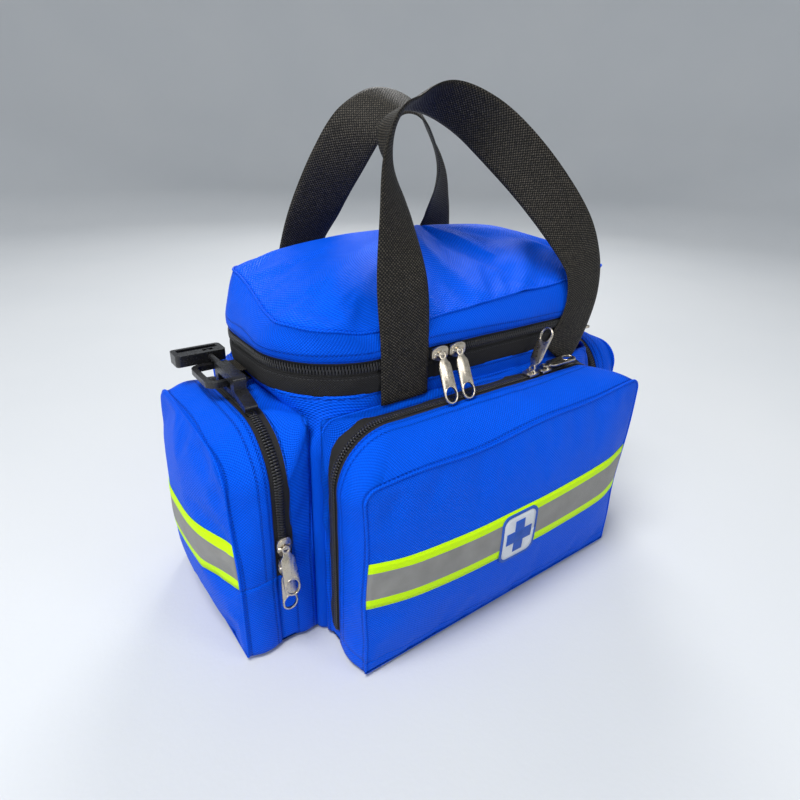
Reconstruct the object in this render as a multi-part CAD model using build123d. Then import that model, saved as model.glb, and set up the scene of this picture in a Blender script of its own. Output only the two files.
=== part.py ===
from build123d import *
import os
from math import cos, radians

# Soft medic bag: zipped lid, four zipped pockets, two carry handles, strap hardware.
# Millimetres. Origin at the centre of the base, +X along the bag, -Y is the front, +Z up.

# ---- driving dimensions ----
BODY_L = 268.0          # main compartment along X
BODY_W = 148.0          # main compartment along Y
WALL = 2.0              # padded fabric thickness
WALL_TOP = 172.0        # height of the straight walls
COLLAR_TOP = 183.0      # where the walls have widened to the zip outline
BAND_TOP = 197.0        # top of the black band below the zip
ZIP_Z = 200.5           # parting plane of the main zip
ZIP_L = 288.0           # zip outline along X
ZIP_W = 150.0           # zip outline along Y
ZIP_R = 58.0            # zip outline corner radius
LID_EDGE = 204.0        # lower edge of the lid fabric
LID_SEAM = 236.0        # seam between lid gusset and top panel
LID_TOP = 260.0         # crown of the lid
HINGE_TAPE = 120.0      # length of the fabric hinge behind the lid
PART_GAP = 0.2          # half gap between the two sides of a zip
COIL = 3.0              # height of one half of a coil

SLIDER_L = 14.0         # slider length along the zip
SLIDER_W = 10.5         # slider width across the zip
TAB_L = 34.0            # pull tab, hinge to tip
TAB_W = 11.0            # pull tab width
TAB_T = 1.5             # pull tab thickness
TAB_RING = 3.3          # finger hole at the tip of a pull tab
BAIL_R = 0.7            # bail wire radius
EYE_R = 0.8             # hole in the tab for the bail
BAIL_H = 5.6            # height of the bail above the coil

WEB_W = 38.0            # handle webbing width
WEB_T = 1.8             # handle webbing thickness
HANDLE_Y = 77.4         # webbing centre plane beside the walls
HANDLE_Z = 173.2        # where the legs leave the seam

POCKET_LOW = 3.0        # underside of the pockets
ZIP_ARC = 38.0          # corner radius of a pocket zip
CORNER = 3.0            # corner radius of pocket faces and flanges
TAPE = 0.5              # reflective tape thickness
PATCH_X = 6.0           # centre of the emblem patch
PATCH_Z = 68.0

MAIN_SLIDERS = (-40.0, -24.5)
MAIN_LEAN = 25.0        # main tabs rest against the front pocket
LEFT_SLIDERS = (86.5, 70.5)
LEFT_LEANS = (-104.0, -93.0)

HOOK_X = -157.2         # centre line of the snap hook
LEFT_TAB_Y = 12.0       # strap tabs sit a little to the rear of the ends
RIGHT_TAB_Y = 28.0
RING_X = 148.0          # hinge bar of the D-rings
RING_Z = 180.5          # level of the D-rings
RING_R = 2.0            # D-ring wire radius


def save(name, shape):
    export_step(shape, f"parts/{name}.step")


def block(x0, x1, y0, y1, z0, z1):
    """Box between two corners."""
    return Pos((x0 + x1) / 2, (y0 + y1) / 2, (z0 + z1) / 2) * Box(x1 - x0, y1 - y0, z1 - z0)


def ring(length, width, radius, thick, z0, z1):
    """Upright rounded-rectangle band."""
    outer = RectangleRounded(length, width, radius)
    inner = RectangleRounded(length - 2 * thick, width - 2 * thick, radius - thick)
    return extrude(Pos(0, 0, z0) * (outer - inner), z1 - z0)


def taper(low, high, z0, z1):
    """Loft between two rounded rectangles (length, width, radius)."""
    sketches = [Pos(0, 0, z0) * RectangleRounded(*low), Pos(0, 0, z1) * RectangleRounded(*high)]
    return loft(sketches, ruled=True)


def inset(size, step):
    """Shrink a rounded rectangle (length, width, radius) by a step all round."""
    return (size[0] - 2 * step, size[1] - 2 * step, size[2] - step)


# ---- body shell ----
def body_shell():
    hx = BODY_L / 2
    hy = BODY_W / 2
    save("floor_panel", block(-hx, hx, -hy, hy, 0, WALL))
    long_wall = block(-hx, hx, hy - WALL, hy, WALL, WALL_TOP)
    end_wall = block(hx - WALL, hx, WALL - hy, hy - WALL, WALL, WALL_TOP)
    save("rear_wall", long_wall)
    save("front_wall", Rot(0, 0, 180) * long_wall)
    save("right_wall", end_wall)
    save("left_wall", Rot(0, 0, 180) * end_wall)
    low = (BODY_L, BODY_W, 4.0)
    high = (ZIP_L, ZIP_W, ZIP_R)
    outer = taper(low, high, WALL_TOP, COLLAR_TOP)
    save("collar", outer - taper(inset(low, WALL), inset(high, WALL), WALL_TOP, COLLAR_TOP))


# ---- main zip ----
def zip_run(z0, z1):
    """One half of the zip: round the front, the ends and the rear corners."""
    band = ring(ZIP_L + 0.8, ZIP_W + 0.8, ZIP_R + 0.4, WALL + 0.4, z0, z1)
    return band - block(-HINGE_TAPE / 2, HINGE_TAPE / 2, 0, ZIP_W, z0 - 1, z1 + 1)


def hinge_strip(z0, z1):
    back = ZIP_W / 2
    return block(-HINGE_TAPE / 2, HINGE_TAPE / 2, back - WALL, back, z0, z1)


def main_zip():
    save("zip_band", ring(ZIP_L, ZIP_W, ZIP_R, WALL, COLLAR_TOP, BAND_TOP))
    save("main_zip_lower", zip_run(BAND_TOP, ZIP_Z - PART_GAP))
    save("main_zip_upper", zip_run(ZIP_Z + PART_GAP, LID_EDGE))
    save("lid_hinge_tape", hinge_strip(BAND_TOP, ZIP_Z - PART_GAP))


# ---- lid ----
def lid():
    edge = (ZIP_L, ZIP_W, ZIP_R)
    seam = (ZIP_L - 4, ZIP_W - 4, ZIP_R - 8)
    crown = (ZIP_L - 96, ZIP_W - 80, 26.0)
    gusset = taper(edge, seam, LID_EDGE, LID_SEAM)
    gusset -= taper(inset(edge, WALL), inset(seam, WALL), LID_EDGE, LID_SEAM)
    save("lid_gusset", gusset + hinge_strip(ZIP_Z + PART_GAP, LID_EDGE))
    top = taper(seam, crown, LID_SEAM, LID_TOP)
    save("lid_top", top - taper(inset(seam, 4), inset(crown, 4), LID_SEAM, LID_TOP - 2.5))


# ---- pockets ----
# A pocket is drawn against the wall plane y = 0, on its -Y side: x runs along the wall.
def outline(half, low, d, top, radius):
    """Upright pocket outline at a distance d from the wall: rounded above, square below."""
    side = top - radius
    end = half - radius
    bend = radius * (1 - cos(radians(45)))
    with BuildSketch(Plane((0, -d, 0), x_dir=(1, 0, 0), z_dir=(0, -1, 0))) as sketch:
        with BuildLine():
            Line((-half, low), (half, low))
            Line((half, low), (half, side))
            ThreePointArc((half, side), (half - bend, top - bend), (end, top))
            Line((end, top), (-end, top))
            ThreePointArc((-end, top), (bend - half, top - bend), (-half, side))
            Line((-half, side), (-half, low))
        make_face()
    return sketch.sketch


class Pocket:
    def __init__(self, name, turn, wall, half, depth, zip_d, face_top, fold, crown):
        self.name = name
        self.turn = turn            # turn about Z that carries -Y to the pocket's side
        self.wall = wall            # from the bag's centre to the wall
        self.half = half            # half width along the wall
        self.depth = depth          # depth of the gussets
        self.zip_d = zip_d          # from the wall to the zip
        self.face_top = face_top    # upper edge of the face
        self.fold = fold            # the flap folds down about this height
        self.crown = crown          # swelling of the filled face
        self.zip_top = WALL_TOP - 4.5

    def place(self, shape):
        return Rot(0, 0, self.turn) * Pos(0, -self.wall, 0) * shape

    def solid(self, near, far, step=0.0):
        """Loft between two outlines (d, top, radius), shrunk by a step all round."""
        half = self.half - step
        low = POCKET_LOW + step
        ends = [outline(half, low, d, top - step, max(r - step, 1.0)) for d, top, r in (near, far)]
        return loft(ends, ruled=True)

    def tube(self, near, far):
        return self.solid(near, far) - self.solid(near, far, WALL)

    def swelling(self):
        """Shallow crown of a well filled face."""
        tall = self.face_top - POCKET_LOW
        middle = (self.face_top + POCKET_LOW) / 2
        back = Plane((0, -self.depth, middle), x_dir=(1, 0, 0), z_dir=(0, -1, 0))
        front = back.offset(self.crown)
        wide = back * Rectangle(2 * self.half - 6, tall - 6)
        return loft([wide, front * Rectangle(self.half, tall / 2)], ruled=True)

    def build(self):
        """Save the base and the flap; return the coil half that stays on the base."""
        coil_near = (self.zip_d - COIL, self.zip_top, ZIP_ARC)
        coil_mid = (self.zip_d, self.zip_top, ZIP_ARC)
        coil_far = (self.zip_d + COIL, self.zip_top, ZIP_ARC)
        rim = (self.depth - WALL, self.face_top, CORNER)
        inner = self.tube((0.0, WALL_TOP, CORNER), coil_near)
        outer = self.tube(coil_far, rim)
        coils = self.tube(coil_near, coil_far)
        face = self.solid(rim, (self.depth, self.face_top, CORNER))
        if self.crown:
            face += self.swelling()
        everywhere = 400
        top_part = block(-everywhere, everywhere, -everywhere, everywhere, self.fold, everywhere)
        low_part = block(-everywhere, everywhere, -everywhere, everywhere, 0, self.fold - 2 * PART_GAP)
        flap_side = block(-everywhere, everywhere, -everywhere, -self.zip_d - PART_GAP, 0, everywhere)
        base_side = block(-everywhere, everywhere, -self.zip_d + PART_GAP, everywhere, 0, everywhere)
        base = inner + (outer & low_part) + (face & low_part) + (coils & low_part)
        save(self.name + "_pocket_base", self.place(base))
        save(self.name + "_pocket_gusset", self.place(outer & top_part))
        save(self.name + "_pocket_face", self.place(face & top_part))
        save(self.name + "_pocket_zip", self.place(coils & top_part & flap_side))
        return self.place(coils & top_part & base_side)

    def stripe(self, z0, z1):
        """Reflective tape across the face, following its swelling."""
        span = block(1 - self.half, self.half - 1, -self.depth - self.crown - TAPE, -self.depth, z0, z1)
        if self.crown:
            skin = self.swelling()
            span = ((Pos(0, -TAPE, 0) * skin) - skin) & span
            span &= block(-self.half, self.half, -400, -self.depth - TAPE, z0, z1)
        save(self.name + "_stripe", self.place(span))


FRONT = Pocket("front", 0, BODY_W / 2, 128.0, 52.0, 12.5, 148.0, 12.0, 0.0)
REAR = Pocket("rear", 180, BODY_W / 2, 128.0, 52.0, 12.5, 148.0, 12.0, 0.0)
LEFT = Pocket("left", -90, BODY_L / 2, 67.0, 55.0, 22.5, 160.0, 62.0, 10.0)
RIGHT = Pocket("right", 90, BODY_L / 2, 67.0, 55.0, 22.5, 160.0, 62.0, 10.0)


def pockets():
    fixed_coils = [pocket.build() for pocket in (FRONT, REAR, LEFT, RIGHT)]
    save("pocket_inner_zips", Compound(children=fixed_coils))
    FRONT.stripe(60.5, 95.5)
    LEFT.stripe(63.0, 98.0)
    RIGHT.stripe(63.0, 98.0)
    skin = -FRONT.wall - FRONT.depth - TAPE
    plane = Plane((PATCH_X, skin, PATCH_Z), x_dir=(1, 0, 0), z_dir=(0, -1, 0))
    save("patch", extrude(plane * RectangleRounded(35, 39, 7), 1.2))


# Two sliders on the top run of a zip: pocket, places along the wall, turn of each tab.
TOP_SLIDERS = (
    (FRONT, (46.0, 60.5), (-155.0, -91.0)),
    (REAR, (-14.0, 2.0), (92.0, -92.0)),
    (RIGHT, (-20.0, -4.0), (100.0, -92.0)),
)


# ---- sliders and pull tabs ----
def slider(across):
    """Slider on a zip along X, outer side up, the tape that stays put on its +Y side."""
    half_l = SLIDER_L / 2
    half_w = SLIDER_W / 2
    plate = block(-half_l, half_l, -half_w, half_w, 2.6, 3.6)
    plate = fillet(plate.edges().filter_by(Axis.Z), 2.6)
    shoulder = block(2 - half_l, half_l - 2, PART_GAP, COIL, PART_GAP, 2.6)
    bail = Pos(0, 0, BAIL_H) * Rot(0, 90, 0) * Cylinder(BAIL_R, 8.4)
    bail += block(-4.2, -3.2, -BAIL_R, BAIL_R, 3.6, BAIL_H)
    bail += block(3.2, 4.2, -BAIL_R, BAIL_R, 3.6, BAIL_H)
    return plate + shoulder + Rot(0, 0, 90 if across else 0) * bail


def pull_tab():
    """Tab hanging along -Z from a bail along X."""
    blade = block(-TAB_W / 2, TAB_W / 2, -TAB_T / 2, TAB_T / 2, TAB_W / 2 - TAB_L, -4.0)
    tip = Pos(0, 0, TAB_W / 2 - TAB_L) * Rot(90, 0, 0)
    blade += tip * Cylinder(TAB_W / 2, TAB_T)
    blade -= tip * Cylinder(TAB_RING, TAB_T + 1)
    neck = block(-2.6, 2.6, -TAB_T / 2, TAB_T / 2, -4.0, 0)
    eye = Rot(0, 90, 0) * Cylinder(1.7, 5.2)
    return blade + neck + eye - Rot(0, 90, 0) * Cylinder(EYE_R, 8)


def fit_slider(name, frame, across, lean):
    """Slider in a frame on the zip, and its tab turned about the bail."""
    save(name + "_slider", frame * slider(across))
    turn = Rot(0, 0, 90) if across else Rot(0, 0, 0)
    save(name + "_pull", frame * Pos(0, 0, BAIL_H) * turn * Rot(lean, 0, 0) * pull_tab())


def sliders():
    # Main zip: the bail lies along the zip and the tabs hang down over the band.
    for name, x in (("main_left", MAIN_SLIDERS[0]), ("main_right", MAIN_SLIDERS[1])):
        origin = (x, -ZIP_W / 2 - 0.4, ZIP_Z)
        frame = Plane(origin, x_dir=(-1, 0, 0), z_dir=(0, -1, 0)).location
        fit_slider(name, frame, False, 90 + MAIN_LEAN)
    # Front, rear and right pockets: two sliders on the top run, tabs along the zip.
    for pocket, spots, leans in TOP_SLIDERS:
        for label, spot, lean in zip(("a", "b"), spots, leans):
            frame = pocket.place(Pos(spot, -pocket.zip_d, pocket.zip_top))
            fit_slider(f"{pocket.name}_{label}", frame, True, lean)
    # Left pocket: two sliders near the lower front end, tabs hanging down.
    for label, height, lean in (("a", LEFT_SLIDERS[0], LEFT_LEANS[0]), ("b", LEFT_SLIDERS[1], LEFT_LEANS[1])):
        plane = Plane((LEFT.half, -LEFT.zip_d, height), x_dir=(0, 0, -1), z_dir=(1, 0, 0))
        frame = LEFT.place(plane.location)
        fit_slider(f"left_{label}", frame, True, lean)


# ---- carry handles ----
# Stations from the left leg over the top to the right leg: point, direction across the webbing.
FRONT_HANDLE = (
    ((-67, -HANDLE_Y, HANDLE_Z), (1, 0, 0)),
    ((-68, -HANDLE_Y, 214), (1, 0, 0)),
    ((-71, -77, 250), (1, 0, 0)),
    ((-69, -67, 287), (0.9, 0.43, 0)),
    ((-62, -49, 321), (0.6, 0.8, 0)),
    ((-42, -28, 345), (0.25, 0.95, -0.1)),
    ((-10, -19.5, 355), (0, 0.88, -0.45)),
    ((20, -32, 344), (-0.3, 0.78, -0.5)),
    ((49, -54, 315), (-0.62, 0.5, -0.5)),
    ((78, -72, 279), (-0.8, 0.3, -0.4)),
    ((98, -78.5, 250), (-0.95, 0.05, -0.15)),
    ((105, -79, 222), (-1, 0, 0)),
    ((100, -HANDLE_Y, 195), (-1, 0, 0)),
    ((84, -HANDLE_Y, HANDLE_Z), (-1, 0, 0)),
)
REAR_HANDLE = (
    ((-67, HANDLE_Y, HANDLE_Z), (1, 0, 0)),
    ((-66, HANDLE_Y, 215), (1, 0, 0)),
    ((-60, 76, 250), (1, 0, 0)),
    ((-53, 61, 282), (0.9, -0.4, -0.1)),
    ((-47, 41, 312), (0.8, -0.6, -0.2)),
    ((-37, 25, 338), (0.5, -0.75, -0.35)),
    ((-16, 19, 354), (0.1, -0.88, -0.45)),
    ((12, 22, 348), (-0.3, -0.85, -0.4)),
    ((40, 36, 324), (-0.5, -0.8, -0.2)),
    ((60, 52, 299), (-0.75, -0.6, -0.1)),
    ((71, 66, 274), (-0.9, -0.35, 0)),
    ((77, 76, 248), (-1, 0, 0)),
    ((82, HANDLE_Y, 215), (-1, 0, 0)),
    ((84, HANDLE_Y, HANDLE_Z), (-1, 0, 0)),
)


def webbing(stations):
    """Flat strap through the stations, its width turning from leg to leg."""
    points = [Vector(*point) for point, across in stations]
    sections = []
    for i, (point, across) in enumerate(stations):
        if 0 < i < len(stations) - 1:
            along = (points[i + 1] - points[i]).normalized() + (points[i] - points[i - 1]).normalized()
        else:
            along = Vector(0, 0, 1 if i == 0 else -1)
        along = along.normalized()
        width = Vector(*across)
        width = (width - along * width.dot(along)).normalized()
        sections.append(Plane(points[i], x_dir=width, z_dir=along) * Rectangle(WEB_W, WEB_T))
    return loft(sections, ruled=True)


def handles():
    save("front_handle", webbing(FRONT_HANDLE))
    save("rear_handle", webbing(REAR_HANDLE))


# ---- shoulder strap hardware ----
def strap_tab(tab_y):
    """Webbing lug at the right end, with the D-ring's bar through it."""
    lug = block(136, RING_X + 4, tab_y - 10.5, tab_y + 10.5, RING_Z - 4, RING_Z + 4)
    lug = fillet(lug.edges().filter_by(Axis.Y).group_by(Axis.X)[-1], 3.5)
    lug -= Pos(RING_X, tab_y, RING_Z) * Rot(90, 0, 0) * Cylinder(RING_R + 0.06, 40)
    body = taper((BODY_L, BODY_W, 4.0), (ZIP_L, ZIP_W, ZIP_R), WALL_TOP, COLLAR_TOP)
    body += extrude(Pos(0, 0, COLLAR_TOP) * RectangleRounded(ZIP_L, ZIP_W, ZIP_R), 10)
    return lug - body


def d_ring(tab_y):
    reach = 24.0
    outer = RectangleRounded(reach + 2 * RING_R, 38, 7)
    inner = RectangleRounded(reach - 2 * RING_R, 30, 4)
    flat = extrude(outer - inner, RING_R, both=True)
    flat = Pos(RING_X + reach / 2, tab_y, RING_Z) * flat
    flat -= block(RING_X - 5, RING_X + 2.6, tab_y - 15, tab_y + 15, 170, 190)
    return flat + Pos(RING_X, tab_y, RING_Z) * Rot(90, 0, 0) * Cylinder(RING_R, 37.5)


def snap_hook():
    """Closed link that hangs on the front side of the D-ring, with a swivel pin behind."""
    half = 4.35
    link = block(-half, half, -32, 2, -6.0, 8.5)
    link = fillet(link.edges().filter_by(Axis.X), 3.0)
    link -= block(-6, 6, -26, -4, -2.5, 2.7)
    tail = Pos(0, -30, -2.5) * Rot(17, 0, 0) * block(-half, half, -19, 2, -2.2, 2.2)
    tail = fillet(tail.edges().filter_by(Axis.X).group_by(Axis.Y)[0], 1.8)
    pin = Pos(0, 13, 5.5) * Rot(90, 0, 0) * Cylinder(2.2, 24)
    head = Pos(0, 26.4, 5.5) * Rot(90, 0, 0) * Cylinder(3.4, 2.8)
    return Pos(HOOK_X, LEFT_TAB_Y, RING_Z) * (link + tail + pin + head)


def strap_slot():
    """Frame for the shoulder strap, turning on the hook's pin."""
    frame = block(-24.0, 11.5, 21.0, 37.5, 1.2, 9.2)
    frame = fillet(frame.edges().filter_by(Axis.Z), 3.0)
    frame -= block(-20.4, 7.9, 29.6, 34.8, -10, 20)
    frame -= Pos(0, 26.4, 5.5) * Rot(90, 0, 0) * Cylinder(3.7, 3.6)
    frame -= block(-3.7, 3.7, 24.6, 28.2, 5.5, 20)
    frame -= Pos(0, 19, 5.5) * Rot(90, 0, 0) * Cylinder(2.26, 20)
    return Pos(HOOK_X, LEFT_TAB_Y, RING_Z) * frame


def strap_hardware():
    mirror_left = Plane.YZ
    lugs = [strap_tab(RIGHT_TAB_Y), mirror(strap_tab(LEFT_TAB_Y), mirror_left)]
    save("strap_tabs", Compound(children=lugs))
    save("right_d_ring", d_ring(RIGHT_TAB_Y))
    save("left_d_ring", mirror(d_ring(LEFT_TAB_Y), mirror_left))
    save("snap_hook", snap_hook())
    save("strap_slot", strap_slot())


os.makedirs("parts", exist_ok=True)
body_shell()
main_zip()
lid()
pockets()
sliders()
handles()
strap_hardware()
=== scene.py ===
import math

import bmesh
import bpy
import mathutils
import numpy as np
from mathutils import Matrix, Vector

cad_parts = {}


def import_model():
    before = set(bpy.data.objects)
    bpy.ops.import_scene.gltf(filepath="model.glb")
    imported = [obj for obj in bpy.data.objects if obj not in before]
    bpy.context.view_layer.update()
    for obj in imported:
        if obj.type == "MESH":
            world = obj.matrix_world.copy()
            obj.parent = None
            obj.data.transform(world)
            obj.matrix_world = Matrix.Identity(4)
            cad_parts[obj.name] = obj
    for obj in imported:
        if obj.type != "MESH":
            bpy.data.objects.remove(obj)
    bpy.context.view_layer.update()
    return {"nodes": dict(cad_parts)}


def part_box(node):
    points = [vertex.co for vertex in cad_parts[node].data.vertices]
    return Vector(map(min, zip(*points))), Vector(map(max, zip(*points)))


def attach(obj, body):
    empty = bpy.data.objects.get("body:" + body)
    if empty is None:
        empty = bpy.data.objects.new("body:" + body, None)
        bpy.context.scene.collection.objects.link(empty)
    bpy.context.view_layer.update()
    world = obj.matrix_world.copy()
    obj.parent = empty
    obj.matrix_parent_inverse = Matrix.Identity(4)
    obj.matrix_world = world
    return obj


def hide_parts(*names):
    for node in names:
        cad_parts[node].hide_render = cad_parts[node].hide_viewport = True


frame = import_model()

# Shapes are worked out in millimetres in the row frame and written to Blender in metres.
MM = 0.001


def node_box(node):
    """Lowest and highest corner of a CAD node, in millimetres."""
    low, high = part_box(node)
    return np.array(low) / MM, np.array(high) / MM


# ---- sizes read from the frame ----
BODY_LOW, BODY_HIGH = node_box("floor_panel")
BAND_LOW, BAND_HIGH = node_box("zip_band")
GUSSET_LOW, GUSSET_HIGH = node_box("lid_gusset")
TOP_LOW, TOP_HIGH = node_box("lid_top")
BODY_L = BODY_HIGH[0] - BODY_LOW[0]
BODY_W = BODY_HIGH[1] - BODY_LOW[1]
ZIP_L = BAND_HIGH[0] - BAND_LOW[0]
ZIP_W = BAND_HIGH[1] - BAND_LOW[1]
WALL_TOP = node_box("front_wall")[1][2]
COLLAR_TOP = BAND_LOW[2]
BAND_TOP = BAND_HIGH[2]
LID_SEAM = GUSSET_HIGH[2]
LID_TOP = TOP_HIGH[2]
LID_EDGE = node_box("main_zip_upper")[1][2]
ZIP_Z = (node_box("main_zip_lower")[1][2] + node_box("main_zip_upper")[0][2]) / 2

# ---- sizes of the sewn work, from the real materials ----
ZIP_R = 58.0            # corner radius of the main zip outline
POCKET_ARC = 38.0       # corner radius of a pocket zip
TAPE_HALF = 5.6         # zip tape showing on each side of the parting line
COIL_HALF = 2.9         # one half of the coil, across
COIL_LIFT = 0.8         # centre of the coil above the tape
PITCH = 2.0             # coil pitch
FABRIC = 1.4            # panel thickness
WEB_W = 38.0            # handle webbing
WEB_T = 1.8


# ---- small helpers ----
def wobble(points, size, seed=0.0):
    """Smooth repeatable noise, about -1 to 1, from a few turned sine waves."""
    x, y, z = (points[..., i] / size for i in range(3))
    total = np.sin(1.7 * x + 0.9 * y + 1.3 * z + seed)
    total += np.sin(-1.1 * x + 2.1 * y + 0.7 * z + 2.3 + 1.7 * seed + 0.8 * np.sin(1.3 * z + y))
    total += np.sin(0.6 * x - 1.4 * y + 2.3 * z + 4.1 + 0.6 * seed + 0.9 * np.sin(1.1 * x - z))
    return total / 3.0


def smooth(x, a, b):
    """Smooth step from 0 at a to 1 at b."""
    t = np.clip((x - a) / (b - a), 0.0, 1.0)
    return t * t * (3 - 2 * t)


def arc_length(points, axis):
    """Running length along one axis of a grid of points, in metres."""
    steps = np.linalg.norm(np.diff(points, axis=axis), axis=-1)
    start = np.zeros_like(np.take(steps, [0], axis=axis))
    return np.concatenate([start, np.cumsum(steps, axis=axis)], axis=axis) * MM


def quads(rows, columns, wrap):
    """Faces of a grid of points, as rows of four indices."""
    index = np.arange(rows * columns).reshape(rows, columns)
    right = np.roll(index, -1, axis=1) if wrap else index[:, 1:]
    left = index if wrap else index[:, :-1]
    return np.stack([left[:-1], right[:-1], right[1:], left[1:]], axis=-1).reshape(-1, 4)


def thicken(obj, thick):
    """Give a sheet its thickness, on the inner side."""
    shell = obj.modifiers.new("thickness", "SOLIDIFY")
    shell.thickness = thick * MM
    shell.offset = -1.0


def soften(obj, width, segments, angle):
    """Round the sharp edges of a hard part."""
    edge = obj.modifiers.new("soft_edges", "BEVEL")
    edge.width = width * MM
    edge.segments = segments
    edge.limit_method = "ANGLE"
    edge.angle_limit = math.radians(angle)
    return edge


class Sheet:
    """Collects grids of quads into one mesh, with cloth coordinates in metres."""

    def __init__(self):
        self.points = []
        self.cloth = []
        self.edge = []
        self.faces = []
        self.slots = []
        self.count = 0

    def grid(self, points, slot=0, wrap=False, flip=False, cloth=None, edge=None):
        """Add a grid. cloth is (along, across); edge is the distance to the first and last row."""
        rows, columns = points.shape[:2]
        if cloth is None:
            along = arc_length(points, 1).mean(axis=0)[None, :] * np.ones((rows, 1))
            across = arc_length(points, 0)
            cloth = np.stack([along, across], axis=-1)
        if edge is None:
            across = arc_length(points, 0)
            edge = np.stack([across, across[-1:] - across], axis=-1)
        faces = quads(rows, columns, wrap) + self.count
        if flip:
            faces = faces[:, ::-1]
        self.points.append(points.reshape(-1, 3))
        self.cloth.append(cloth.reshape(-1, 2))
        self.edge.append(edge.reshape(-1, 2))
        self.faces.extend(faces.tolist())
        self.slots.extend([slot] * len(faces))
        self.count += rows * columns

    def solid(self, points, faces, slot=0):
        """Add loose geometry, such as a coil tooth."""
        self.points.append(np.asarray(points, float))
        self.cloth.append(np.asarray(points, float)[:, :2] * MM)
        self.edge.append(np.ones((len(points), 2)))
        self.faces.extend([[i + self.count for i in face] for face in faces])
        self.slots.extend([slot] * len(faces))
        self.count += len(points)

    def build(self, name, body, materials, nodes=(), thick=0.0, merge=True, outward=False):
        """Make the object, weld grids that meet, and let it ride on its body."""
        mesh = bpy.data.meshes.new(name)
        points = np.concatenate(self.points) * MM
        mesh.from_pydata(points.tolist(), [], self.faces)
        for label, values in (("cloth", self.cloth), ("edge", self.edge)):
            layer = mesh.uv_layers.new(name=label)
            values = np.concatenate(values)
            corners = np.empty(len(mesh.loops), int)
            mesh.loops.foreach_get("vertex_index", corners)
            layer.data.foreach_set("uv", values[corners].astype(np.float32).ravel())
        for material in materials:
            mesh.materials.append(material)
        mesh.polygons.foreach_set("material_index", self.slots)
        mesh.polygons.foreach_set("use_smooth", [True] * len(mesh.polygons))
        if outward:
            turned = bmesh.new()
            turned.from_mesh(mesh)
            bmesh.ops.recalc_face_normals(turned, faces=turned.faces)
            turned.to_mesh(mesh)
            turned.free()
        obj = bpy.data.objects.new(name, mesh)
        bpy.context.scene.collection.objects.link(obj)
        if merge:
            weld = obj.modifiers.new("weld", "WELD")
            weld.merge_threshold = 0.02 * MM
        if thick:
            thicken(obj, thick)
        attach(obj, body)
        if nodes:
            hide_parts(*nodes)
        return obj


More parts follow.
